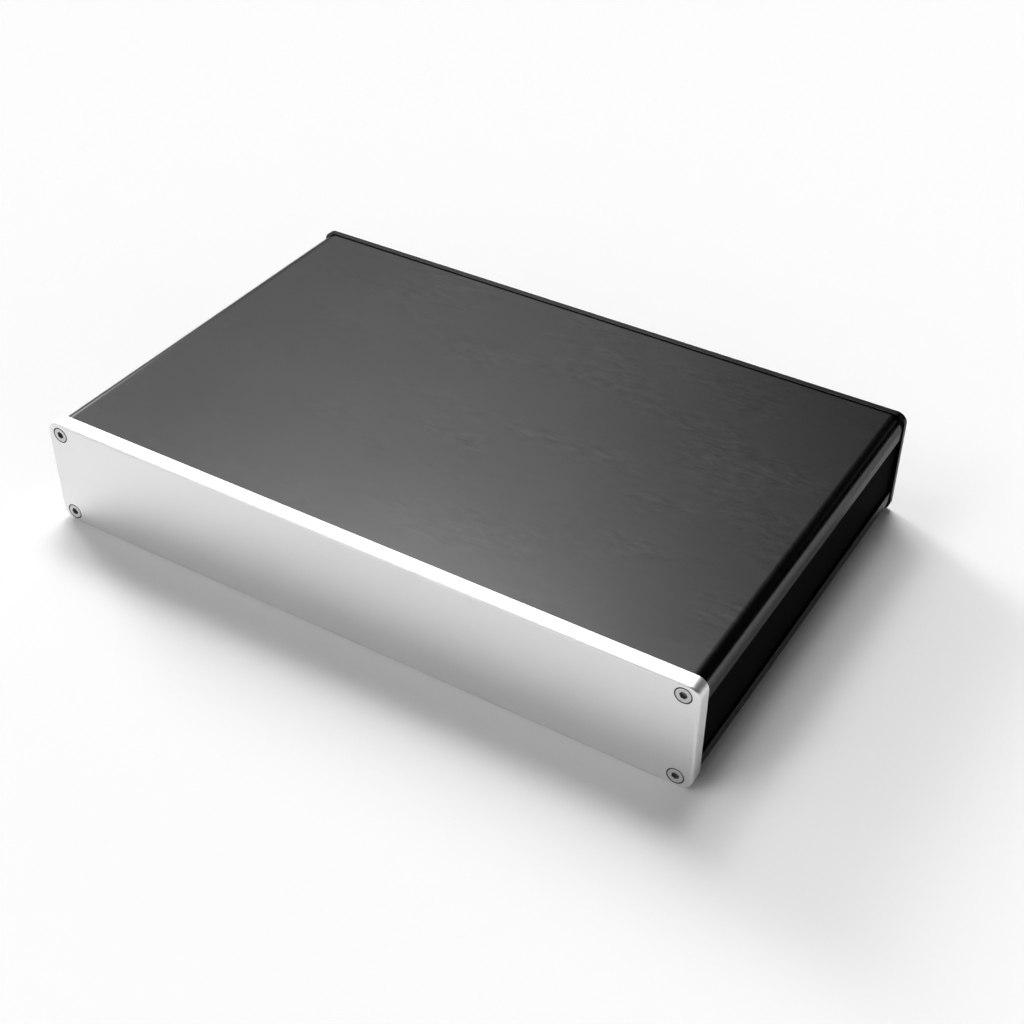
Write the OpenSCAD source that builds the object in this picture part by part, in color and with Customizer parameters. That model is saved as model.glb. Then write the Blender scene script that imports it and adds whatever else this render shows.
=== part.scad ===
// Empty amplifier chassis. A thick bright front panel and a thin black rear panel close the two ends
// of a case that is made of two extruded covers and two side panels that slide in their grooves.
// Millimetres, +Z up, front face towards -Y. The origin is below the middle of the case, on the
// surface that the two end panels stand on.

/* [Overall] */
// Width of the chassis across the end panels
chassis_w = 259; // [200:1:430]
// Height of the chassis over the end panels
chassis_h = 43; // [36:1:90]
// Depth from the front face to the rear face
chassis_d = 168; // [120:1:320]

/* [End panels] */
// Thickness of the front panel
front_t = 6; // [4:0.5:10]
// Thickness of the rear panel
rear_t = 2.5; // [2:0.25:4]
// Corner radius of both end panels, seen from the front
panel_corner_r = 4.2; // [3.6:0.1:7]
// Round along the front edge of the front panel
front_edge_r = 1; // [0.3:0.1:1.2]
// Small round on the rear panel's outside edge and the covers' lips
edge_break = 0.3; // [0.2:0.05:0.5]
// Smaller round on both end panels' inside edges
inner_break = 0.1; // [0.05:0.05:0.3]

/* [Covers] */
// How far the end panels stand proud of the covers all round
cover_inset = 0.5; // [0.2:0.1:1.2]
// Thickness of a cover's flat web
cover_wall = 2; // [1.5:0.1:3]
// Outside radius of a cover's long edges
cover_corner_r = 5.5; // [3:0.5:7]
// Height of a cover's side flange
flange_h = 9.1; // [9:0.1:13]
// Thickness of the flange's lip on each side of the groove
lip_t = 1.2; // [1:0.1:2]
// Depth of the groove that holds an edge of a side panel
groove_depth = 3; // [2:0.25:3.5]
// Wall of the screw port round its bore
port_wall = 1.6; // [1.2:0.1:2]
// Width of the slit that opens the screw port towards the inside
port_slit_w = 1.6; // [1:0.1:2]

/* [Side panels] */
// Thickness of a side panel
side_t = 2; // [1.5:0.1:3]

/* [Screws] */
// Distance of the screw axes from the panels' left and right edges
screw_inset_x = 5.6; // [5:0.1:7]
// Distance of the screw axes from the panels' top and bottom edges
screw_inset_z = 4.3; // [4.2:0.1:6]
// Thread diameter of the screws
screw_d = 3; // [2.5:0.5:3.5]
// Length of thread that a screw has in its port
screw_grip = 8; // [5:0.5:14]
// Diameter of the countersunk screw head
head_d = 5.4; // [5:0.1:6]
// Height of the straight rim of the screw head
head_rim_h = 0.5; // [0.2:0.1:0.5]
// Width across the flats of the hexagon socket
socket_af = 2.4; // [1.5:0.1:2.5]
// Depth of the hexagon socket
socket_depth = 1.2; // [0.8:0.1:1.5]
// Chamfer at the tip of a screw
tip_chamfer = 0.4; // [0.2:0.1:0.8]

/* [Clearances] */
// Gap on each face of a side panel in its groove
groove_gap = 0.05; // [0.02:0.01:0.15]
// Gap above a side panel, at the end of the upper groove
groove_end_gap = 0.2; // [0.1:0.1:0.5]
// Gap all round a screw thread in its port
port_gap = 0.05; // [0.02:0.01:0.1]
// Gap all round a screw shank in an end panel
hole_gap = 0.15; // [0.05:0.05:0.3]
// Gap all round the rim of a screw head
rim_gap = 0.35; // [0.1:0.05:0.45]
// Gap all round the cone of a screw head on its seat
seat_gap = 0.03; // [0.01:0.01:0.1]

/* [Hidden] */
$fn = 96;

// Overrun of a cut past the face that it opens
over = 1;
// Length of the covers and side panels, and the front end of both
case_l = chassis_d - front_t - rear_t;
case_y = front_t - chassis_d / 2;
// Outline of the case across the covers
cover_w = chassis_w - 2 * cover_inset;
cover_h = chassis_h - 2 * cover_inset;
// Groove for a side panel, and the whole flange with its two lips
groove_w = side_t + 2 * groove_gap;
flange_t = 2 * lip_t + groove_w;
// Lower edge of the top cover's flanges
lip_z = chassis_h - cover_inset - flange_h;
// Ends of the grooves in the bottom cover and the top cover
groove_floor_z = cover_inset + flange_h - groove_depth;
groove_roof_z = chassis_h - groove_floor_z;
// Screw axes, from the middle of the case
screw_x = chassis_w / 2 - screw_inset_x;
screw_z = chassis_h / 2 - screw_inset_z;
// Screw port, its bore and the hole in the end panels
port_bore_d = screw_d + 2 * port_gap;
port_d = port_bore_d + 2 * port_wall;
hole_d = screw_d + 2 * hole_gap;
// Height of the cone under a screw head, which has a right angle at its point
head_cone_h = (head_d - screw_d) / 2;

bright_alloy = [0.82, 0.82, 0.83];
black_alloy = [0.2, 0.2, 0.21];
dull_black_alloy = [0.1, 0.1, 0.105];
bright_steel = [0.7, 0.7, 0.71];
black_steel = [0.14, 0.14, 0.145];

// Section through the edge of an end panel: width w about the middle, face at y = 0 and back at y = t,
// with a round of face_r at the two face corners and of back_r at the two back corners.
module plate_section(w, t, face_r, back_r) {
  translate([-w / 2, face_r])
    square([w, t - face_r - back_r]);
  translate([face_r - w / 2, 0])
    square([w - 2 * face_r, t - back_r]);
  translate([back_r - w / 2, face_r])
    square([w - 2 * back_r, t - face_r]);
  for (side = [-1, 1]) {
    translate([side * (w / 2 - face_r), face_r])
      circle(r = face_r);
    translate([side * (w / 2 - back_r), t - back_r])
      circle(r = back_r);
  }
}

// One rounded corner of an end panel, turned about the corner's own axis
module plate_corner(t, face_r, back_r) {
  rotate([-90, 0, 0])
    rotate_extrude()
      intersection() {
        plate_section(2 * panel_corner_r, t, face_r, back_r);
        square([panel_corner_r, t]);
      }
}

// Blank for an end panel, face at y = 0: a tall bar, a wide bar and four turned corners
module plate_blank(t, face_r, back_r) {
  straight_w = chassis_w - 2 * panel_corner_r;
  straight_h = chassis_h - 2 * panel_corner_r;
  translate([-straight_w / 2, 0, chassis_h / 2])
    rotate([0, 90, 0])
      linear_extrude(straight_w)
        plate_section(chassis_h, t, face_r, back_r);
  translate([0, 0, panel_corner_r])
    linear_extrude(straight_h)
      plate_section(chassis_w, t, face_r, back_r);
  for (x = [-1, 1], z = [-1, 1])
    translate([x * straight_w / 2, 0, chassis_h / 2 + z * straight_h / 2])
      plate_corner(t, face_r, back_r);
}

// Puts what follows on each of the four screw axes of an end panel
module at_screws() {
  for (x = [-1, 1], z = [-1, 1])
    translate([x * screw_x, 0, chassis_h / 2 + z * screw_z])
      rotate([-90, 0, 0])
        children();
}

// Countersunk hole from a face at z = 0 through a thickness of t, with a straight recess for the rim
module countersink(t) {
  seat_d = head_d + 2 * seat_gap;
  translate([0, 0, -over])
    cylinder(d = head_d + 2 * rim_gap, h = head_rim_h + over);
  translate([0, 0, head_rim_h])
    cylinder(d1 = seat_d, d2 = hole_d, h = (seat_d - hole_d) / 2);
  translate([0, 0, -over])
    cylinder(d = hole_d, h = t + 2 * over);
}

// Finished end panel, face at y = 0
module end_panel(t, face_r, back_r) {
  difference() {
    plate_blank(t, face_r, back_r);
    at_screws()
      countersink(t);
  }
}

// Hexagon socket screw with a countersunk head, face at z = 0 and tip at z = length
module socket_screw(length) {
  difference() {
    rotate_extrude()
      polygon([
        [0, 0],
        [head_d / 2, 0],
        [head_d / 2, head_rim_h],
        [screw_d / 2, head_rim_h + head_cone_h],
        [screw_d / 2, length - tip_chamfer],
        [screw_d / 2 - tip_chamfer, length],
        [0, length]
      ]);
    translate([0, 0, -over])
      cylinder(d = socket_af / cos(30), h = socket_depth + over, $fn = 6);
  }
}

// Outside outline of the closed case, seen from the front
module case_outline() {
  translate([-cover_w / 2 + cover_corner_r, cover_inset])
    square([cover_w - 2 * cover_corner_r, cover_h]);
  translate([-cover_w / 2, cover_inset + cover_corner_r])
    square([cover_w, cover_h - 2 * cover_corner_r]);
  for (x = [-1, 1], z = [-1, 1])
    translate([x * (cover_w / 2 - cover_corner_r), chassis_h / 2 + z * (cover_h / 2 - cover_corner_r)])
      circle(r = cover_corner_r);
}

// What the right-hand flange loses: the groove, the port's bore and slit, and the lip's outside edge
module flange_cuts() {
  translate([cover_w / 2 - lip_t - groove_w, lip_z - over])
    square([groove_w, groove_depth + over]);
  translate([screw_x, chassis_h / 2 + screw_z]) {
    circle(d = port_bore_d);
    rotate(225)
      translate([0, -port_slit_w / 2])
        square([port_d / 2 + over, port_slit_w]);
  }
  translate([cover_w / 2, lip_z])
    difference() {
      translate([-edge_break, -over])
        square([edge_break + over, edge_break + over]);
      translate([-edge_break, edge_break])
        circle(r = edge_break);
    }
}

// Section of the top cover: a flat web with a grooved flange and a slit screw port along each side
module cover_section() {
  difference() {
    intersection() {
      case_outline();
      union() {
        translate([-cover_w / 2, chassis_h - cover_inset - cover_wall])
          square([cover_w, cover_wall]);
        for (side = [-1, 1]) {
          translate([side * (cover_w - flange_t) / 2 - flange_t / 2, lip_z])
            square([flange_t, flange_h]);
          translate([side * screw_x, chassis_h / 2 + screw_z])
            circle(d = port_d);
        }
      }
    }
    flange_cuts();
    mirror([1, 0])
      flange_cuts();
  }
}

// Carries a section, drawn as seen from the front, along the whole depth of the case
module along_case() {
  translate([0, case_y + case_l, 0])
    rotate([90, 0, 0])
      linear_extrude(case_l)
        children();
}

// Side panel on the right for side = 1 and on the left for side = -1, standing in the lower groove
module side_panel(side) {
  middle_x = cover_w / 2 - lip_t - groove_w / 2;
  translate([side * middle_x - side_t / 2, case_y, groove_floor_z])
    cube([side_t, case_l, groove_roof_z - groove_end_gap - groove_floor_z]);
}

module front_panel() {
  color(bright_alloy)
    translate([0, -chassis_d / 2, 0])
      end_panel(front_t, front_edge_r, inner_break);
}

module rear_panel() {
  color(black_alloy)
    translate([0, chassis_d / 2, 0])
      rotate([0, 0, 180])
        end_panel(rear_t, edge_break, inner_break);
}

module top_cover() {
  color(black_alloy)
    along_case()
      cover_section();
}

module bottom_cover() {
  color(black_alloy)
    along_case()
      translate([0, chassis_h])
        mirror([0, 1])
          cover_section();
}

module left_side_panel() {
  color(dull_black_alloy)
    side_panel(-1);
}

module right_side_panel() {
  color(dull_black_alloy)
    side_panel(1);
}

module front_screws() {
  color(bright_steel)
    translate([0, -chassis_d / 2, 0])
      at_screws()
        socket_screw(front_t + screw_grip);
}

module rear_screws() {
  color(black_steel)
    translate([0, chassis_d / 2, 0])
      rotate([0, 0, 180])
        at_screws()
          socket_screw(rear_t + screw_grip);
}

front_panel();
rear_panel();
top_cover();
bottom_cover();
left_side_panel();
right_side_panel();
front_screws();
rear_screws();
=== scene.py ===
import bmesh
import bpy
import numpy as np
from bpy.props import FloatProperty, FloatVectorProperty, PointerProperty
from bpy.types import Operator, Panel, PropertyGroup
from mathutils import Matrix, Vector
from mathutils.geometry import tessellate_polygon


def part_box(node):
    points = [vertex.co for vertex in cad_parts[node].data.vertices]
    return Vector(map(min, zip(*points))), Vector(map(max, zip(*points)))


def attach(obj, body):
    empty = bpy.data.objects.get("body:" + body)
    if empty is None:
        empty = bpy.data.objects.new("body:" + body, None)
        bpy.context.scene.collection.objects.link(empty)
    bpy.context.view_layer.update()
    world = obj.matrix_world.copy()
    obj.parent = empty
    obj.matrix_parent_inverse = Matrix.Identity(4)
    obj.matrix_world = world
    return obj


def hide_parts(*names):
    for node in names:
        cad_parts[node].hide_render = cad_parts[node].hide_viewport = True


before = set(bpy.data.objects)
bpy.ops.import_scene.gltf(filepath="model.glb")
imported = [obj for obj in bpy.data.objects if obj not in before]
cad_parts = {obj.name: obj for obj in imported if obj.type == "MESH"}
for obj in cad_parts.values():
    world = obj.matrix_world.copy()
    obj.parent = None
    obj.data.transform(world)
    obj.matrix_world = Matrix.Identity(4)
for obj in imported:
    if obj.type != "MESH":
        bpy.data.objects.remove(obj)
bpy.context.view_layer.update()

bl_info = {
    "name": "Amplifier chassis",
    "version": (1, 0, 0),
    "blender": (4, 5, 0),
    "location": "View3D > Sidebar > Chassis",
    "description": "Dresses an empty amplifier chassis: end panels, covers, side panels and socket screws",
    "category": "Object",
}

# Points closer than this are one point when the patches of a piece are joined.
MERGE_DISTANCE = 1e-7
# Edges that turn by more than this stay sharp.
SHARP_ANGLE = np.radians(32)
# Steps of a corner's round, of an edge round or a port's arc, and of a broken edge.
CORNER_STEPS = 16
ROUND_STEPS = 8
BREAK_STEPS = 4
# Points round a screw and its hole: a multiple of six, so that a socket has its corners.
TURN_STEPS = 48
# Rows of points along one pitch of a screw thread.
THREAD_ROWS = 6
# How far each screw was turned when it came up tight, in degrees.
SCREW_TURNS = (8.0, 41.0, 27.0, 52.0)
# Direction in which the slit of the upper right screw port opens, in degrees from +X towards +Z.
SLIT_ANGLE = 225
# Shares of half a socket's width: its chamfer, and the reach and depth of the drill's mark in its floor.
SOCKET_CHAMFER = 0.1
DRILL_REACH = 0.8
DRILL_DEPTH = 0.25
# Chamfer at a screw's tip as a share of the shank's radius, and a thread's depth as a share of its pitch.
TIP_CHAMFER = 0.27
THREAD_DEPTH = 0.6

# Attribute of the screws that holds each point's distance from its own axis.
AXIS_DISTANCE = "axis_distance"
# Attribute of the screws and end panels that is one in sockets and head recesses, where the colour is
# darkened as painted shade.
PAINTED_SHADE = "painted_shade"
# Share of the colour that the painted shade in sockets and head recesses takes away, on the panels and on the
# screws.
PANEL_PAINTED_SHADE = 0.95
SCREW_PAINTED_SHADE = 0.6

# Start of the streaks' noise: another start gives another pattern of the same kind.
STREAK_START = (0.0, 0.0, 61.0)
# Streaks gather in places: the scale of the wide noise that says where, the values of that noise between
# which they come up, and their strength before and after.
CLUSTER_SCALE = 0.12
CLUSTER_SPAN = (0.38, 0.66)
CLUSTER_STRENGTH = (0.3, 1.5)
# Streaks grow stronger with x + y: the sums in metres between which they do, and the factors before and
# after.
LEAN_SPAN = (-0.15, 0.12)
LEAN_STRENGTH = (0.6, 1.6)
# Shares of the streaks and of the soft patches in brushed metal.
STREAK_SHARE = 0.7
PATCH_SHARE = 0.3
# Heights of the relief of anodised metal and of turned steel, in metres.
ALLOY_RELIEF = 0.00002
STEEL_RELIEF = 0.00001
# Turned rings on a screw, in radians per metre from its axis.
RING_PHASE = 60000.0

# Soft lights of the studio: name, degrees right of +Y, degrees above the floor, sharpness and radiance.
SOFT_LIGHTS = (
    ("key", -42.0, 52.5, 120.0, 15.85),
    ("sheen", -36.2, 34.4, 34.7, 1.42),
    ("back", -17.9, 64.8, 117.8, 18.98),
    ("low left", -64.0, 24.0, 120.0, 33.44),
    ("far left", -110.2, 24.2, 120.0, 1.85),
    ("front left", -145.7, 37.8, 119.9, 6.18),
    ("high left", -123.2, 56.4, 119.4, 6.01),
)
# The pale horizon, as sines of the elevations where it starts to fade and ends: all round, and on the dark
# side.
HORIZON = (0.242, 0.469)
DARK_HORIZON = (0.0, 0.06)
# Middle of the dark side, and the cosines of the angles from it where the horizon narrows.
DARK_SIDE = (0.707, 0.707, 0.0)
DARK_EDGE = (0.883, 0.951)
# Width of the camera's sensor in millimetres, and the nearest and farthest distances it shows, in metres.
SENSOR_WIDTH = 36.0
CAMERA_RANGE = (0.01, 500.0)


class ChassisSizes(PropertyGroup):
    """Sizes of the panels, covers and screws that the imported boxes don't give."""

    panel_corner_r: FloatProperty(
        name="Panel corner", description="Corner radius of the end panels, seen from the front",
        default=0.0042, unit="LENGTH")
    front_round: FloatProperty(
        name="Front round", description="Round along the front edge of the front panel",
        default=0.001, unit="LENGTH")
    edge_round: FloatProperty(
        name="Edge round", description="Small round on the rear panel, the covers' lips and the side panels",
        default=0.0003, unit="LENGTH")
    inner_round: FloatProperty(
        name="Inner round", description="Smaller round on the inside edges of the end panels",
        default=0.0001, unit="LENGTH")
    hole_round: FloatProperty(
        name="Hole round", description="Broken edge at the mouth of a screw hole and on a screw head",
        default=0.0001, unit="LENGTH")
    cover_corner_r: FloatProperty(
        name="Cover corner", description="Outside radius of a cover's long edges",
        default=0.0055, unit="LENGTH")
    cover_wall: FloatProperty(
        name="Cover wall", description="Thickness of a cover's flat web",
        default=0.002, unit="LENGTH")
    lip_t: FloatProperty(
        name="Groove lip", description="Thickness of the inner lip beside a side panel's groove",
        default=0.0012, unit="LENGTH")
    groove_gap: FloatProperty(
        name="Groove gap", description="Gap on each face of a side panel in its groove",
        default=0.00005, unit="LENGTH")
    groove_depth: FloatProperty(
        name="Groove depth", description="Depth of the groove that holds a side panel's edge",
        default=0.003, unit="LENGTH")
    port_bore_d: FloatProperty(
        name="Port bore", description="Bore of a screw port",
        default=0.0031, unit="LENGTH")
    port_d: FloatProperty(
        name="Port", description="Outside diameter of a screw port",
        default=0.0063, unit="LENGTH")
    port_slit_w: FloatProperty(
        name="Port slit", description="Width of the slit that opens a screw port",
        default=0.0016, unit="LENGTH")
    head_d: FloatProperty(
        name="Screw head", description="Diameter of a countersunk screw head",
        default=0.0054, unit="LENGTH")
    head_rim_h: FloatProperty(
        name="Head rim", description="Height of the straight rim of a screw head",
        default=0.0005, unit="LENGTH")
    recess_d: FloatProperty(
        name="Head recess", description="Diameter of the recess round a screw head",
        default=0.0061, unit="LENGTH")
    seat_d: FloatProperty(
        name="Head seat", description="Widest diameter of the cone under a screw head",
        default=0.00546, unit="LENGTH")
    hole_d: FloatProperty(
        name="Screw hole", description="Hole for a screw in an end panel",
        default=0.0033, unit="LENGTH")
    screw_d: FloatProperty(
        name="Thread", description="Outside diameter of a screw thread",
        default=0.003, unit="LENGTH")
    pitch: FloatProperty(
        name="Pitch", description="Pitch of a screw thread",
        default=0.0005, unit="LENGTH")
    socket_af: FloatProperty(
        name="Socket", description="Width across the flats of a hexagon socket",
        default=0.0024, unit="LENGTH")
    socket_depth: FloatProperty(
        name="Socket depth", description="Depth of a hexagon socket",
        default=0.0012, unit="LENGTH")


class ChassisFinishes(PropertyGroup):
    """Colours of the finishes."""

    bright_alloy: FloatVectorProperty(
        name="Bright alloy", description="Silver satin anodised front panel",
        default=(0.80, 0.80, 0.80), subtype="COLOR", min=0.0, max=1.0)
    black_alloy: FloatVectorProperty(
        name="Black alloy", description="Brushed black anodised covers",
        default=(0.08, 0.08, 0.08), subtype="COLOR", min=0.0, max=1.0)
    rear_black_alloy: FloatVectorProperty(
        name="Rear black alloy", description="Brushed black anodised rear panel",
        default=(0.05, 0.05, 0.05), subtype="COLOR", min=0.0, max=1.0)
    dull_black_alloy: FloatVectorProperty(
        name="Dull black alloy", description="Dull black anodised side panels",
        default=(0.005, 0.005, 0.005), subtype="COLOR", min=0.0, max=1.0)
    bright_steel: FloatVectorProperty(
        name="Bright steel", description="Stainless steel screws of the front panel",
        default=(0.62, 0.62, 0.62), subtype="COLOR", min=0.0, max=1.0)
    black_steel: FloatVectorProperty(
        name="Black steel", description="Black oxide screws of the rear panel",
        default=(0.05, 0.05, 0.05), subtype="COLOR", min=0.0, max=1.0)


class ChassisStage(PropertyGroup):
    """Floor, light and camera."""

    floor_colour: FloatVectorProperty(
        name="Floor", description="Colour of the plain floor",
        default=(0.97, 0.97, 0.97), subtype="COLOR", min=0.0, max=1.0)
    floor_size: FloatProperty(
        name="Floor size", description="Half of the width of the floor",
        default=60.0, unit="LENGTH")
    light_level: FloatProperty(
        name="Light", description="Factor on all the soft lights",
        default=1.0)
    horizon_level: FloatProperty(
        name="Horizon", description="Radiance of the pale horizon",
        default=0.9)
    fill_level: FloatProperty(
        name="Fill", description="Least radiance from any side",
        default=0.003)
    camera_place: FloatVectorProperty(
        name="Camera", description="Place of the camera",
        default=(0.26041, -0.40938, 0.38127), subtype="TRANSLATION", unit="LENGTH")
    camera_azimuth: FloatProperty(
        name="Azimuth", description="Turn of the camera round the vertical",
        default=np.radians(31.089), subtype="ANGLE")
    camera_elevation: FloatProperty(
        name="Elevation", description="Angle by which the camera looks down",
        default=np.radians(38.164), subtype="ANGLE")
    camera_roll: FloatProperty(
        name="Roll", description="Tilt of the camera's right side upwards",
        default=np.radians(0.652), subtype="ANGLE")
    camera_lens: FloatProperty(
        name="Lens", description="Focal length in millimetres on the camera's sensor",
        default=57.957)


# Plane curves and surface patches. A patch is an array of points and a list of faces.


def arc(centre, radius, start, end, steps):
    """Centre plus radius times the cosine and sine of angles spaced evenly from start to end, in degrees."""
    angle = np.radians(np.linspace(start, end, steps + 1))
    return np.column_stack([centre[0] + radius * np.cos(angle), centre[1] + radius * np.sin(angle)])


def ring_quads(rows, columns):
    """Quads between neighbouring rows of a grid of points whose last column joins its first."""
    here = np.arange(rows * columns).reshape(rows, columns)
    beside = np.roll(here, -1, axis=1)
    return np.stack([here[:-1], beside[:-1], beside[1:], here[1:]], axis=-1).reshape(-1, 4)


def join_patches(*patches):
    """One patch of several: the points in a row, and each patch's faces moved past the points before it."""
    starts = np.cumsum([0] + [len(points) for points, _ in patches[:-1]])
    points = np.concatenate([points for points, _ in patches])
    faces = [face for start, (_, own) in zip(starts, patches) for face in (np.asarray(own) + start).tolist()]
    return points, faces


def flat_patch(*rings):
    """Flat face inside the first ring and outside the others, cut into triangles."""
    points = np.concatenate(rings)
    faces = tessellate_polygon([[Vector(point) for point in ring] for ring in rings])
    return points, faces


def grid_patch(x, y, z):
    """Patch of a grid of points, from arrays of coordinates that are spread over its rows and columns."""
    grid = np.stack(np.broadcast_arrays(x, y, z), axis=-1)
    return grid.reshape(-1, 3), ring_quads(*grid.shape[:2])


def end_rings(patch, columns):
    """First and last row of points of a patch made on a grid."""
    return patch[0][:columns], patch[0][-columns:]


def rim_patch(width, height, corner_r, section):
    """Edge of a plate: a rounded rectangle carried through a section of (inset, depth) pairs.

    A point is its corner's centre plus (corner_r - inset) times the direction (cosine, sine) of its angle,
    so every inset keeps the corner centres. The depth runs along Y from the plate's face at zero.
    """
    quarter = np.arange(4).repeat(CORNER_STEPS + 1)
    angle = np.radians(quarter * 90 + np.tile(np.linspace(0, 90, CORNER_STEPS + 1), 4))
    side_x = np.where((quarter == 0) | (quarter == 3), 1, -1)
    side_z = np.where(quarter < 2, 1, -1)
    inset, depth = section[:, :1], section[:, 1:]
    x = side_x * (width / 2 - corner_r) + (corner_r - inset) * np.cos(angle)
    z = side_z * (height / 2 - corner_r) + (corner_r - inset) * np.sin(angle)
    return grid_patch(x, depth, z)


def turned_patch(profile, axis):
    """Surface turned about an axis along Y: at each (radius, depth) of the profile, a circle about it."""
    angle = np.linspace(0, 2 * np.pi, TURN_STEPS, endpoint=False)
    radius, depth = profile[:, :1], profile[:, 1:]
    return grid_patch(axis[0] + radius * np.cos(angle), depth, axis[1] + radius * np.sin(angle))


def carried_patch(section, start, end):
    """Closed shell: a closed (x, z) section carried along Y from start to end, with flat ends."""
    ends = np.array([start, end])[:, None]
    side = grid_patch(section[:, 0], ends, section[:, 1])
    first, last = end_rings(side, len(section))
    return join_patches(side, flat_patch(first), flat_patch(last))


# Shapes of the pieces


def screw_axes(sizes):
    """The four screw axes as (x, z), from the box of the front screws' heads, the upper right one last."""
    low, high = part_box("front_screws")
    reach_x = high.x - sizes.head_d / 2
    reach_z = sizes.head_d / 2
    return [(x, z) for x in (-reach_x, reach_x) for z in (low.z + reach_z, high.z - reach_z)]


def panel_shell(sizes, node, face_round, from_front):
    """End panel: a rim, a flat face, a flat back and a countersunk hole turned about each screw axis."""
    low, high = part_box(node)
    thick = high.y - low.y
    middle_z = (low.z + high.z) / 2
    back_round = sizes.inner_round
    section = np.concatenate([
        arc((face_round, face_round), face_round, 270, 180, ROUND_STEPS),
        arc((back_round, thick - back_round), back_round, 180, 90, BREAK_STEPS),
    ])
    rim = rim_patch(high.x - low.x, high.z - low.z, sizes.panel_corner_r, section)
    mouth = sizes.hole_round
    recess, seat, hole = sizes.recess_d / 2, sizes.seat_d / 2, sizes.hole_d / 2
    profile = np.concatenate([
        arc((recess + mouth, mouth), mouth, 270, 180, BREAK_STEPS),
        [(recess, sizes.head_rim_h), (seat, sizes.head_rim_h), (hole, sizes.head_rim_h + seat - hole)],
        arc((hole + mouth, thick - mouth), mouth, 180, 90, BREAK_STEPS),
    ])
    holes = [turned_patch(profile, (x, z - middle_z)) for x, z in screw_axes(sizes)]
    rim_face, rim_back = end_rings(rim, 4 * (CORNER_STEPS + 1))
    hole_rings = [end_rings(hole_patch, TURN_STEPS) for hole_patch in holes]
    face = flat_patch(rim_face, *[first for first, _ in hole_rings])
    back = flat_patch(rim_back, *[last for _, last in hole_rings])
    points, faces = join_patches(rim, face, back, *holes)
    depth = low.y + points[:, 1] if from_front else high.y - points[:, 1]
    return np.column_stack([points[:, 0], depth, points[:, 2] + middle_z]), faces


def cover_section(sizes):
    """Section of the top cover as one closed outline of (x, z) points.

    The right half runs from the middle of the web's inside round the slit screw port, down the inner lip,
    round the groove and the outer lip, and up the outside to the middle of the top. The left half is its
    mirror image, run backwards.
    """
    low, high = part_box("top_cover")
    plate_low, plate_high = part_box("right_side_panel")
    port = screw_axes(sizes)[-1]
    port_r, bore_r = sizes.port_d / 2, sizes.port_bore_d / 2
    inside_z = high.z - sizes.cover_wall
    groove_in = plate_low.x - sizes.groove_gap
    groove_out = plate_high.x + sizes.groove_gap
    inner_x = groove_in - sizes.lip_t
    groove_roof = low.z + sizes.groove_depth
    # Angles on the port's circles, in degrees, where they meet the web, the slit's two sides and the flange
    slit_at_port = np.degrees(np.arcsin(sizes.port_slit_w / 2 / port_r))
    slit_at_bore = np.degrees(np.arcsin(sizes.port_slit_w / 2 / bore_r))
    at_web = 180 - np.degrees(np.arcsin((inside_z - port[1]) / port_r))
    at_flange = 360 - np.degrees(np.arccos((inner_x - port[0]) / port_r))
    corner = sizes.cover_corner_r
    small = sizes.edge_round
    right = np.concatenate([
        [(0.0, inside_z)],
        arc(port, port_r, at_web, SLIT_ANGLE - slit_at_port, ROUND_STEPS),
        arc(port, bore_r, SLIT_ANGLE - slit_at_bore, SLIT_ANGLE + slit_at_bore - 360, 4 * ROUND_STEPS),
        arc(port, port_r, SLIT_ANGLE + slit_at_port, at_flange, ROUND_STEPS),
        [(inner_x, low.z), (groove_in, low.z), (groove_in, groove_roof)],
        [(groove_out, groove_roof), (groove_out, low.z)],
        arc((high.x - small, low.z + small), small, 270, 360, BREAK_STEPS),
        arc((high.x - corner, high.z - corner), corner, 0, 90, CORNER_STEPS),
        [(0.0, high.z)],
    ])
    left = right[-2:0:-1] * (-1, 1)
    return np.concatenate([right, left])


def side_panel_section(sizes, node):
    """Section of a side panel: a rectangle whose four edges are rounded a little."""
    low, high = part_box(node)
    small = sizes.edge_round
    return np.concatenate([
        arc((high.x - small, high.z - small), small, 0, 90, BREAK_STEPS),
        arc((low.x + small, high.z - small), small, 90, 180, BREAK_STEPS),
        arc((low.x + small, low.z + small), small, 180, 270, BREAK_STEPS),
        arc((high.x - small, low.z + small), small, 270, 360, BREAK_STEPS),
    ])


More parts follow.
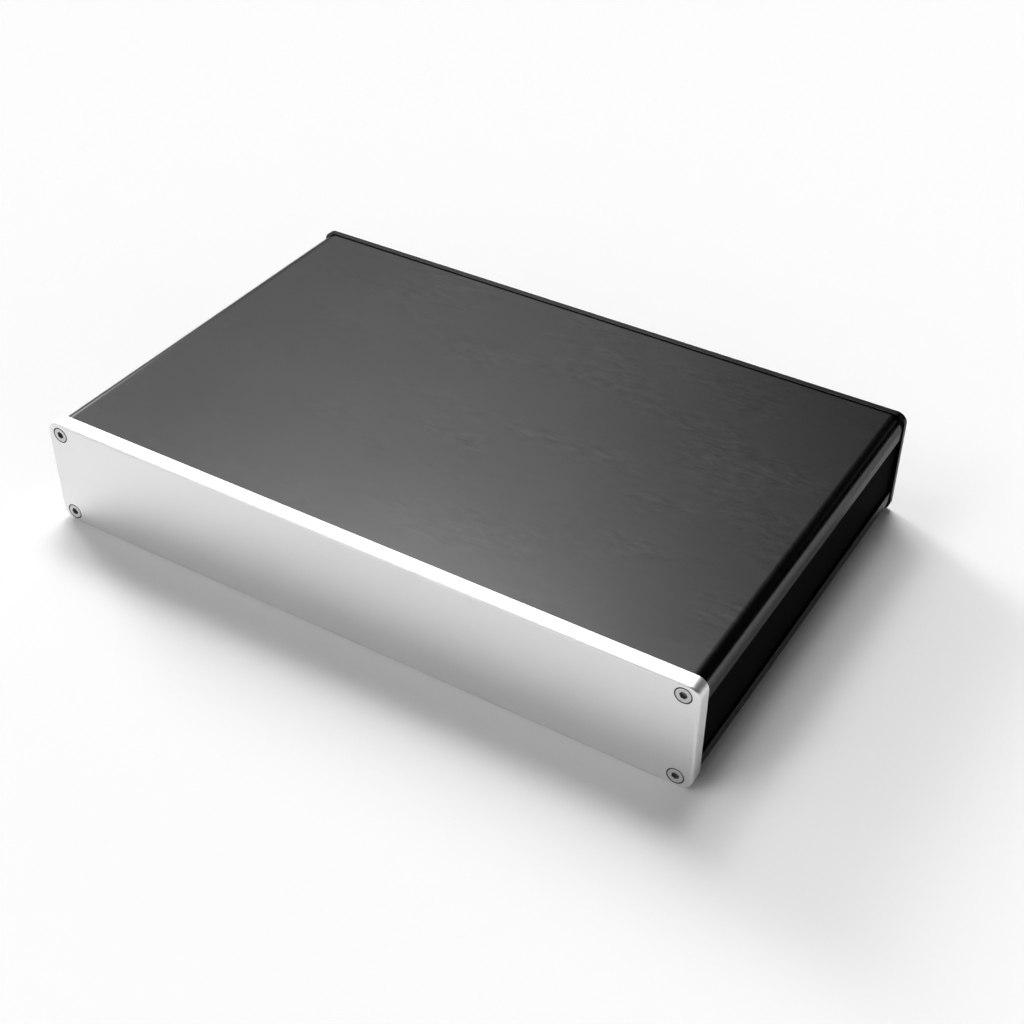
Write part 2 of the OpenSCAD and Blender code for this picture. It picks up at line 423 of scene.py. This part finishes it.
def screw_shell(sizes, length, turn):
    """Socket screw about the Y axis, head face at depth zero and tip at depth length.

    Rows of points run from the socket's floor over the head and down the thread to the tip. On each row the
    radius is a round part plus a hexagon part: half the width across the flats over the cosine of the angle
    from the nearest flat's middle. On the thread, the radius falls from the crest by the thread's depth times
    a triangle wave of depth / pitch less the turn, and the wave fades out at both ends.
    """
    angle = np.linspace(0, 2 * np.pi, TURN_STEPS, endpoint=False)
    sixth = np.pi / 3
    hexagon = 1 / np.cos(np.mod(angle, sixth) - sixth / 2)
    head_r, shank_r = sizes.head_d / 2, sizes.screw_d / 2
    flat = sizes.socket_af / 2
    chamfer = SOCKET_CHAMFER * flat
    rim = sizes.hole_round
    cone_end = sizes.head_rim_h + head_r - shank_r
    tip = TIP_CHAMFER * shank_r
    # (round part, hexagon part, depth) of each row
    head_rows = np.array([
        (0.0, 0.0, sizes.socket_depth + DRILL_DEPTH * flat),
        (0.0, DRILL_REACH * flat, sizes.socket_depth),
        (0.0, flat, sizes.socket_depth),
        (0.0, flat, chamfer),
        (0.0, flat + chamfer, 0.0),
    ])
    edge = arc((head_r - rim, rim), rim, 270, 360, BREAK_STEPS)
    edge_rows = np.column_stack([edge[:, 0], np.zeros(len(edge)), edge[:, 1]])
    seat_rows = np.array([(head_r, 0.0, sizes.head_rim_h), (shank_r, 0.0, cone_end)])
    rows = int(round((length - tip - cone_end) / sizes.pitch * THREAD_ROWS))
    down = np.linspace(cone_end, length - tip, rows + 1)[1:]
    thread_rows = np.column_stack([np.full(rows, shank_r), np.zeros(rows), down])
    tip_rows = np.array([(shank_r - tip, 0.0, length), (0.0, 0.0, length)])
    table = np.concatenate([head_rows, edge_rows, seat_rows, thread_rows, tip_rows])
    round_part, hexagon_part, depth = table[:, :1], table[:, 1:2], table[:, 2:]
    radius = round_part + hexagon_part * hexagon
    phase = np.mod(depth / sizes.pitch - angle / (2 * np.pi), 1)
    wave = np.abs(2 * phase - 1)
    fade = np.clip((depth - cone_end) / sizes.pitch, 0, 1) * np.clip((length - depth) / sizes.pitch, 0, 1)
    threaded = (depth > cone_end) & (depth < length)
    radius = radius - np.where(threaded, THREAD_DEPTH * sizes.pitch * wave * fade, 0)
    return grid_patch(radius * np.cos(angle + turn), depth, radius * np.sin(angle + turn))


def screw_set(sizes, node, from_front):
    """The four screws of one end panel, each turned by its own angle about its own axis."""
    low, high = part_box(node)
    shells = []
    for (x, z), turn in zip(screw_axes(sizes), np.radians(SCREW_TURNS)):
        points, faces = screw_shell(sizes, high.y - low.y, turn)
        depth = low.y + points[:, 1] if from_front else high.y - points[:, 1]
        shells.append((np.column_stack([points[:, 0] + x, depth, points[:, 2] + z]), faces))
    return join_patches(*shells)


def add_piece(name, shell, material, node):
    """Makes a closed piece of a shell, in the place of a CAD node.

    Points that lie together are merged, faces are turned outwards, and the normals follow the larger faces,
    so that flat faces stay flat beside their rounds.
    """
    points, faces = shell
    mesh = bpy.data.meshes.new(name)
    mesh.from_pydata(points.tolist(), [], faces)
    work = bmesh.new()
    work.from_mesh(mesh)
    bmesh.ops.remove_doubles(work, verts=work.verts, dist=MERGE_DISTANCE)
    bmesh.ops.recalc_face_normals(work, faces=work.faces)
    open_edges = [edge for edge in work.edges if not edge.is_manifold]
    if open_edges:
        raise RuntimeError(f"{name} has {len(open_edges)} edges that don't join two faces")
    work.to_mesh(mesh)
    work.free()
    mesh.shade_smooth()
    mesh.set_sharp_from_angle(angle=SHARP_ANGLE)
    mesh.materials.append(material)
    piece = bpy.data.objects.new(name, mesh)
    bpy.context.scene.collection.objects.link(piece)
    normals = piece.modifiers.new("large_faces_lead", "WEIGHTED_NORMAL")
    normals.keep_sharp = True
    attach(piece, "root")
    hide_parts(node)
    return piece


# Values stored on the points of a piece


def point_places(piece):
    """Places of a piece's points, one to a row."""
    places = np.empty(len(piece.data.vertices) * 3)
    piece.data.vertices.foreach_get("co", places)
    return places.reshape(-1, 3)


def store_values(piece, name, values):
    """Stores one value on each point of a piece."""
    attribute = piece.data.attributes.new(name, "FLOAT", "POINT")
    attribute.data.foreach_set("value", values)


def axis_distance(sizes, places):
    """Distance of points from the nearest screw axis.

    The axes lie alike on all sides of the panel's middle, so the distance is taken to one of them with each
    point's X and its height above or below the middle counted as positive.
    """
    axes = np.array(screw_axes(sizes))
    middle_z = axes[:, 1].mean()
    reach = axes.max(axis=0) - (0, middle_z)
    away = np.abs(places[:, [0, 2]] - (0, middle_z)) - reach
    return np.hypot(away[:, 0], away[:, 1])


def store_painted_shade(sizes, piece, from_front):
    """Stores one on the points of a piece that lie in a socket or a head recess, where the colour gets
    painted shade, and zero on the others.

    Such points are nearer to a screw axis than the recess is wide, and deeper below the panel's face than a
    sixth of the broken edge at its mouth.
    """
    places = point_places(piece)
    face_y = places[:, 1].min() if from_front else -places[:, 1].max()
    depth = (places[:, 1] if from_front else -places[:, 1]) - face_y
    near = axis_distance(sizes, places) < sizes.recess_d / 2 + sizes.hole_round
    # Painted shade: one marks the points whose colour is darkened in sockets and head recesses.
    store_values(piece, PAINTED_SHADE, (near & (depth > sizes.hole_round / 6)).astype(float))


# Shader nodes


def plug(tree, socket, value):
    """Feeds an input socket from another node's output, or sets its own value."""
    if isinstance(value, bpy.types.NodeSocket):
        tree.links.new(value, socket)
    else:
        socket.default_value = value


def add_node(tree, kind, inputs=None, **settings):
    """Adds a node with its settings, and its inputs by name or number."""
    node = tree.nodes.new(kind)
    for key, value in settings.items():
        setattr(node, key, value)
    for key, value in (inputs or {}).items():
        plug(tree, node.inputs[key], value)
    return node


def math_node(tree, operation, *values):
    """Result of one operation on its values."""
    return add_node(tree, "ShaderNodeMath", dict(enumerate(values)), operation=operation).outputs[0]


def dot_product(tree, first, second):
    """Dot product of two vectors."""
    return add_node(tree, "ShaderNodeVectorMath", {0: first, 1: second}, operation="DOT_PRODUCT").outputs[1]


def noise_node(tree, place, scale, detail, roughness=0.5):
    """Noise from 0 to 1 at a place."""
    inputs = {"Vector": place, "Scale": scale, "Detail": detail, "Roughness": roughness}
    return add_node(tree, "ShaderNodeTexNoise", inputs).outputs[0]


def object_place(tree):
    """Place of a point in its piece's own coordinates."""
    return add_node(tree, "ShaderNodeTexCoord").outputs["Object"]


def blend_colours(tree, share, dark, light):
    """Colour between dark and light by a share from 0 to 1."""
    mix = add_node(tree, "ShaderNodeMix", {0: share, 6: dark, 7: light}, data_type="RGBA")
    return mix.outputs[2]


def spread(tree, share, low, high):
    """Value between low and high by a share from 0 to 1."""
    return add_node(tree, "ShaderNodeMapRange", {0: share, 3: low, 4: high}).outputs[0]


def smooth_step(tree, value, low, high):
    """Share from 0 to 1 that rises smoothly as a value goes from low to high."""
    step = add_node(tree, "ShaderNodeMapRange", {0: value, 1: low, 2: high}, interpolation_type="SMOOTHSTEP")
    return step.outputs[0]


# Node groups


def new_group(name, inputs, outputs):
    """Shader node group with float inputs, each with a default, and float outputs."""
    tree = bpy.data.node_groups.new(name, "ShaderNodeTree")
    for label, default in inputs.items():
        socket = tree.interface.new_socket(label, in_out="INPUT", socket_type="NodeSocketFloat")
        socket.default_value = default
    for label in outputs:
        tree.interface.new_socket(label, in_out="OUTPUT", socket_type="NodeSocketFloat")
    return tree, add_node(tree, "NodeGroupInput"), add_node(tree, "NodeGroupOutput")


def place_group(tree, group, **values):
    """Puts a node group into a material, with its own values."""
    node = add_node(tree, "ShaderNodeGroup", node_tree=group)
    for label, value in values.items():
        node.inputs[label.replace("_", " ").capitalize()].default_value = value
    return node


def brushed_group():
    """Streaks along X: noise on Object coordinates that are stretched along X, strong in some places only.

    The streaks keep near their middle value of a half where a wide noise is low, and are clearer towards the
    right and rear.
    """
    name = "brushed_streaks"
    if name in bpy.data.node_groups:
        return bpy.data.node_groups[name]
    tree, given, result = new_group(name, {"Lines per metre": 3000.0, "Length": 40.0}, ["Streak"])
    place = object_place(tree)
    lines = given.outputs["Lines per metre"]
    along = math_node(tree, "DIVIDE", lines, given.outputs["Length"])
    scale = add_node(tree, "ShaderNodeCombineXYZ", {0: along, 1: lines, 2: lines}).outputs[0]
    stretched = add_node(tree, "ShaderNodeVectorMath", {0: place, 1: scale, 2: STREAK_START},
                         operation="MULTIPLY_ADD").outputs[0]
    wide = noise_node(tree, stretched, CLUSTER_SCALE, 1.0)
    cluster = spread(tree, smooth_step(tree, wide, *CLUSTER_SPAN), *CLUSTER_STRENGTH)
    sum_xy = dot_product(tree, place, (1.0, 1.0, 0.0))
    lean = spread(tree, smooth_step(tree, sum_xy, *LEAN_SPAN), *LEAN_STRENGTH)
    strength = math_node(tree, "MULTIPLY", cluster, lean)
    fine = math_node(tree, "SUBTRACT", noise_node(tree, stretched, 1.0, 3.0, 0.6), 0.5)
    plug(tree, result.inputs["Streak"], math_node(tree, "MULTIPLY_ADD", fine, strength, 0.5))
    return tree


def painted_shade_group():
    """Share of the colour that is left: one on bare metal, and less where painted shade darkens sockets and
    head recesses.
    """
    name = "dark_grease"
    if name in bpy.data.node_groups:
        return bpy.data.node_groups[name]
    tree, given, result = new_group(name, {"Darkening": 0.85}, ["Clean"])
    # Painted shade: the attribute says where sockets and head recesses are darkened.
    painted_shade = add_node(tree, "ShaderNodeAttribute", attribute_name=PAINTED_SHADE).outputs["Fac"]
    dark = math_node(tree, "MULTIPLY", painted_shade, given.outputs["Darkening"])
    plug(tree, result.inputs["Clean"], math_node(tree, "SUBTRACT", 1.0, dark))
    return tree


def mottle_group():
    """Wide soft patches, and fine pits, from noise on Object coordinates."""
    name = "anodised_mottle"
    if name in bpy.data.node_groups:
        return bpy.data.node_groups[name]
    inputs = {"Patches per metre": 20.0, "Pits per metre": 4000.0}
    tree, given, result = new_group(name, inputs, ["Patch", "Pit"])
    place = object_place(tree)
    plug(tree, result.inputs["Patch"], noise_node(tree, place, given.outputs["Patches per metre"], 2.0))
    plug(tree, result.inputs["Pit"], noise_node(tree, place, given.outputs["Pits per metre"], 1.0))
    return tree


# Materials


def new_material(name):
    """Empty material with a Principled shader, and its node tree."""
    material = bpy.data.materials.new(name)
    material.use_nodes = True
    return material, material.node_tree, material.node_tree.nodes["Principled BSDF"]


def scaled_colour(colour, factor):
    """Four numbers of a colour that is made lighter or darker by a factor."""
    return tuple(min(channel * factor, 1.0) for channel in colour) + (1.0,)


def varied_colour(tree, share, colour, contrast):
    """Colour that goes from darker to lighter by a contrast, as a share goes from 0 to 1."""
    dark, light = scaled_colour(colour, 1 - contrast), scaled_colour(colour, 1 + contrast)
    return blend_colours(tree, share, dark, light)


def with_painted_shade(tree, colour, darkening):
    """Colour that is darkened by a share, as painted shade in sockets and head recesses, where the piece's
    attribute says so.
    """
    unshaded = place_group(tree, painted_shade_group(), darkening=darkening).outputs["Clean"]
    return blend_colours(tree, unshaded, (0.0, 0.0, 0.0, 1.0), colour)


def add_relief(tree, shader, height, strength, distance):
    """Tilts a shader's normal by a relief of a height from 0 to 1 times a distance in metres."""
    bump = add_node(tree, "ShaderNodeBump", {"Height": height, "Strength": strength, "Distance": distance})
    plug(tree, shader.inputs["Normal"], bump.outputs[0])


def brushed_metal(name, colour, lines, length, roughness, contrast, relief, edge_tint):
    """Brushed anodised metal: streaks and soft patches vary colour and roughness, over a shallow relief."""
    if name in bpy.data.materials:
        return bpy.data.materials[name]
    material, tree, shader = new_material(name)
    streak = place_group(tree, brushed_group(), lines_per_metre=lines, length=length).outputs["Streak"]
    patch = math_node(tree, "MULTIPLY", place_group(tree, mottle_group()).outputs["Patch"], PATCH_SHARE)
    both = math_node(tree, "MULTIPLY_ADD", streak, STREAK_SHARE, patch)
    varied = varied_colour(tree, both, colour, contrast)
    # Painted shade: the colour is darkened in the sockets and head recesses of the end panels.
    plug(tree, shader.inputs["Base Color"], with_painted_shade(tree, varied, PANEL_PAINTED_SHADE))
    plug(tree, shader.inputs["Roughness"], spread(tree, both, *roughness))
    add_relief(tree, shader, streak, relief, ALLOY_RELIEF)
    shader.inputs["Metallic"].default_value = 1.0
    shader.inputs["Specular Tint"].default_value = (edge_tint, edge_tint, edge_tint, 1.0)
    return material


def dull_metal(name, colour, roughness, contrast, relief, specular):
    """Dull anodised metal: fine pits, with soft patches in colour and roughness."""
    if name in bpy.data.materials:
        return bpy.data.materials[name]
    material, tree, shader = new_material(name)
    mottle = place_group(tree, mottle_group())
    patch = mottle.outputs["Patch"]
    plug(tree, shader.inputs["Base Color"], varied_colour(tree, patch, colour, contrast))
    plug(tree, shader.inputs["Roughness"], spread(tree, patch, *roughness))
    add_relief(tree, shader, mottle.outputs["Pit"], relief, ALLOY_RELIEF)
    shader.inputs["Specular IOR Level"].default_value = specular
    return material


def turned_steel(name, colour, roughness, contrast, relief):
    """Turned screw steel: fine rings about each screw's own axis, over fine pits."""
    if name in bpy.data.materials:
        return bpy.data.materials[name]
    material, tree, shader = new_material(name)
    mottle = place_group(tree, mottle_group(), patches_per_metre=400.0, pits_per_metre=9000.0)
    patch = mottle.outputs["Patch"]
    distance = add_node(tree, "ShaderNodeAttribute", attribute_name=AXIS_DISTANCE).outputs["Fac"]
    rings = math_node(tree, "SINE", math_node(tree, "MULTIPLY", distance, RING_PHASE))
    varied = varied_colour(tree, patch, colour, contrast)
    # Painted shade: the colour is darkened in the sockets and below the face of each head.
    plug(tree, shader.inputs["Base Color"], with_painted_shade(tree, varied, SCREW_PAINTED_SHADE))
    plug(tree, shader.inputs["Roughness"], spread(tree, patch, *roughness))
    add_relief(tree, shader, math_node(tree, "ADD", rings, mottle.outputs["Pit"]), relief, STEEL_RELIEF)
    shader.inputs["Metallic"].default_value = 1.0
    return material


def bright_alloy(finishes):
    """Silver satin anodised front panel, with a hardly visible grain along X."""
    return brushed_metal("satin_silver", finishes.bright_alloy, lines=3500.0, length=30.0,
                         roughness=(0.38, 0.46), contrast=0.02, relief=0.05, edge_tint=1.0)


def black_alloy(finishes):
    """Black anodised covers, lightly brushed along X."""
    return brushed_metal("brushed_black", finishes.black_alloy, lines=650.0, length=3.5,
                         roughness=(0.17, 0.23), contrast=0.19, relief=0.1, edge_tint=0.5)


def rear_black_alloy(finishes):
    """Black anodised rear panel, a little darker and duller than the covers."""
    return brushed_metal("plate_black", finishes.rear_black_alloy, lines=700.0, length=7.0,
                         roughness=(0.2, 0.26), contrast=0.15, relief=0.02, edge_tint=0.5)


def dull_black_alloy(finishes):
    """Dull black anodised side panels."""
    return dull_metal("dull_black", finishes.dull_black_alloy, roughness=(0.6, 0.7), contrast=0.2, relief=0.2,
                      specular=0.003)


def bright_steel(finishes):
    """Stainless steel screws of the front panel."""
    return turned_steel("turned_stainless", finishes.bright_steel, roughness=(0.5, 0.6), contrast=0.1,
                        relief=0.1)


def black_steel(finishes):
    """Black oxide screws of the rear panel."""
    return turned_steel("black_oxide", finishes.black_steel, roughness=(0.34, 0.46), contrast=0.1,
                        relief=0.1)


# Floor, light and camera


def add_floor(scene, stage):
    """Flat square floor under the chassis, in one plain pale colour."""
    reach = stage.floor_size
    mesh = bpy.data.meshes.new("floor")
    corners = [(-reach, -reach, 0.0), (reach, -reach, 0.0), (reach, reach, 0.0), (-reach, reach, 0.0)]
    mesh.from_pydata(corners, [], [(0, 1, 2, 3)])
    material, _, shader = new_material("pale_floor")
    shader.inputs["Base Color"].default_value = scaled_colour(stage.floor_colour, 1.0)
    shader.inputs["Roughness"].default_value = 1.0
    shader.inputs["Specular IOR Level"].default_value = 0.0
    mesh.materials.append(material)
    floor = bpy.data.objects.new("floor", mesh)
    scene.collection.objects.link(floor)


def light_world(scene, stage):
    """Studio of soft lights on a small fill, over a pale horizon.

    Each soft light is its radiance times the cosine of the angle from its middle, to the power of its
    sharpness. The horizon fades out with the height, sooner on the dark side. The brighter of the lights and
    the horizon counts.
    """
    world = bpy.data.worlds.new("studio")
    world.use_nodes = True
    scene.world = world
    tree = world.node_tree
    towards = add_node(tree, "ShaderNodeTexCoord").outputs["Generated"]
    total = stage.fill_level
    for name, azimuth, elevation, sharpness, radiance in SOFT_LIGHTS:
        turn, rise = np.radians((azimuth, elevation))
        middle = (np.sin(turn) * np.cos(rise), np.cos(turn) * np.cos(rise), np.sin(rise))
        near = math_node(tree, "MAXIMUM", dot_product(tree, towards, middle), 0.0)
        glow = math_node(tree, "POWER", near, sharpness)
        total = math_node(tree, "MULTIPLY_ADD", glow, radiance * stage.light_level, total)
        total.node.label = name
    dark = smooth_step(tree, dot_product(tree, towards, DARK_SIDE), *DARK_EDGE)
    fade_start, fade_end = [spread(tree, dark, *pair) for pair in zip(HORIZON, DARK_HORIZON)]
    height = dot_product(tree, towards, (0.0, 0.0, 1.0))
    horizon = spread(tree, smooth_step(tree, height, fade_start, fade_end), stage.horizon_level, 0.0)
    background = tree.nodes["Background"]
    plug(tree, background.inputs["Strength"], math_node(tree, "MAXIMUM", total, horizon))
    background.inputs["Color"].default_value = (1.0, 1.0, 1.0, 1.0)


def add_camera(scene, stage):
    """Camera at its place, looking down by its elevation, turned by its azimuth and tilted by its roll."""
    azimuth, elevation, roll = stage.camera_azimuth, stage.camera_elevation, stage.camera_roll
    level = Vector((np.cos(azimuth), np.sin(azimuth), 0.0))
    outwards = np.cos(elevation)
    back = Vector((np.sin(azimuth) * outwards, -np.cos(azimuth) * outwards, np.sin(elevation)))
    upright = back.cross(level)
    right = np.cos(roll) * level + np.sin(roll) * upright
    up = back.cross(right)
    lens = bpy.data.cameras.new("camera")
    lens.lens = stage.camera_lens
    lens.sensor_width = SENSOR_WIDTH
    lens.clip_start, lens.clip_end = CAMERA_RANGE
    camera = bpy.data.objects.new("camera", lens)
    facing = Matrix((right, up, back)).transposed().to_4x4()
    camera.matrix_world = Matrix.Translation(stage.camera_place) @ facing
    scene.collection.objects.link(camera)
    scene.camera = camera


# Operators


class CHASSIS_OT_front_panel(Operator):
    """Make the thick bright front panel with its rounded front edge and countersunk holes"""

    bl_idname = "chassis.front_panel"
    bl_label = "Front panel"

    def execute(self, context):
        sizes, finishes = context.scene.chassis_sizes, context.scene.chassis_finishes
        shell = panel_shell(sizes, "front_panel", sizes.front_round, True)
        panel = add_piece("bright_front_panel", shell, bright_alloy(finishes), "front_panel")
        store_painted_shade(sizes, panel, True)
        return {"FINISHED"}


class CHASSIS_OT_rear_panel(Operator):
    """Make the thin black rear panel with its countersunk holes"""

    bl_idname = "chassis.rear_panel"
    bl_label = "Rear panel"

    def execute(self, context):
        sizes, finishes = context.scene.chassis_sizes, context.scene.chassis_finishes
        shell = panel_shell(sizes, "rear_panel", sizes.edge_round, False)
        panel = add_piece("black_rear_panel", shell, rear_black_alloy(finishes), "rear_panel")
        store_painted_shade(sizes, panel, False)
        return {"FINISHED"}


class CHASSIS_OT_covers(Operator):
    """Make the top and bottom covers: one section with ports and grooves, the lower one turned over"""

    bl_idname = "chassis.covers"
    bl_label = "Covers"

    def execute(self, context):
        sizes, finishes = context.scene.chassis_sizes, context.scene.chassis_finishes
        section = cover_section(sizes)
        top_low, top_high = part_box("top_cover")
        bottom_low, bottom_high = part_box("bottom_cover")
        turned_over = section * (1, -1) + (0, top_high.z + bottom_low.z)
        add_piece("extruded_top_cover", carried_patch(section, top_low.y, top_high.y),
                  black_alloy(finishes), "top_cover")
        add_piece("extruded_bottom_cover", carried_patch(turned_over, bottom_low.y, bottom_high.y),
                  black_alloy(finishes), "bottom_cover")
        return {"FINISHED"}


class CHASSIS_OT_side_panels(Operator):
    """Make the two side panels that slide in the covers' grooves"""

    bl_idname = "chassis.side_panels"
    bl_label = "Side panels"

    def execute(self, context):
        sizes, finishes = context.scene.chassis_sizes, context.scene.chassis_finishes
        for side in ("left", "right"):
            node = f"{side}_side_panel"
            low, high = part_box(node)
            shell = carried_patch(side_panel_section(sizes, node), low.y, high.y)
            add_piece(f"{side}_side_strip", shell, dull_black_alloy(finishes), node)
        return {"FINISHED"}


class CHASSIS_OT_screws(Operator):
    """Make the hexagon socket screws of both end panels"""

    bl_idname = "chassis.screws"
    bl_label = "Screws"

    def execute(self, context):
        sizes, finishes = context.scene.chassis_sizes, context.scene.chassis_finishes
        front = add_piece("front_socket_screws", screw_set(sizes, "front_screws", True),
                          bright_steel(finishes), "front_screws")
        rear = add_piece("rear_socket_screws", screw_set(sizes, "rear_screws", False),
                         black_steel(finishes), "rear_screws")
        for screws, from_front in ((front, True), (rear, False)):
            store_values(screws, AXIS_DISTANCE, axis_distance(sizes, point_places(screws)))
            store_painted_shade(sizes, screws, from_front)
        return {"FINISHED"}


class CHASSIS_OT_stage(Operator):
    """Make the floor, the light and the camera"""

    bl_idname = "chassis.stage"
    bl_label = "Stage"

    def execute(self, context):
        scene = context.scene
        scene.view_settings.view_transform = "Standard"
        add_floor(scene, scene.chassis_stage)
        light_world(scene, scene.chassis_stage)
        add_camera(scene, scene.chassis_stage)
        return {"FINISHED"}


class CHASSIS_PT_sidebar(Panel):
    """Lists the pieces of the chassis, its sizes, its finishes and its stage"""

    bl_idname = "CHASSIS_PT_sidebar"
    bl_label = "Amplifier chassis"
    bl_space_type = "VIEW_3D"
    bl_region_type = "UI"
    bl_category = "Chassis"

    def draw(self, context):
        scene = context.scene
        for operator in OPERATORS:
            self.layout.operator(operator.bl_idname)
        for group in (scene.chassis_sizes, scene.chassis_finishes, scene.chassis_stage):
            box = self.layout.box()
            for name in group.__annotations__:
                box.prop(group, name)


OPERATORS = (
    CHASSIS_OT_front_panel,
    CHASSIS_OT_rear_panel,
    CHASSIS_OT_covers,
    CHASSIS_OT_side_panels,
    CHASSIS_OT_screws,
    CHASSIS_OT_stage,
)
CLASSES = (ChassisSizes, ChassisFinishes, ChassisStage, *OPERATORS, CHASSIS_PT_sidebar)


def register():
    """Registers the classes, and puts the sizes, finishes and stage on the scene."""
    for cls in CLASSES:
        bpy.utils.register_class(cls)
    bpy.types.Scene.chassis_sizes = PointerProperty(type=ChassisSizes)
    bpy.types.Scene.chassis_finishes = PointerProperty(type=ChassisFinishes)
    bpy.types.Scene.chassis_stage = PointerProperty(type=ChassisStage)


def unregister():
    """Takes the properties off the scene, and unregisters the classes."""
    del bpy.types.Scene.chassis_stage
    del bpy.types.Scene.chassis_finishes
    del bpy.types.Scene.chassis_sizes
    for cls in reversed(CLASSES):
        bpy.utils.unregister_class(cls)


def main():
    """Registers the add-on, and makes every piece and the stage."""
    register()
    bpy.ops.chassis.front_panel()
    bpy.ops.chassis.rear_panel()
    bpy.ops.chassis.covers()
    bpy.ops.chassis.side_panels()
    bpy.ops.chassis.screws()
    bpy.ops.chassis.stage()
    bpy.context.view_layer.update()


if __name__ == "__main__":
    main()
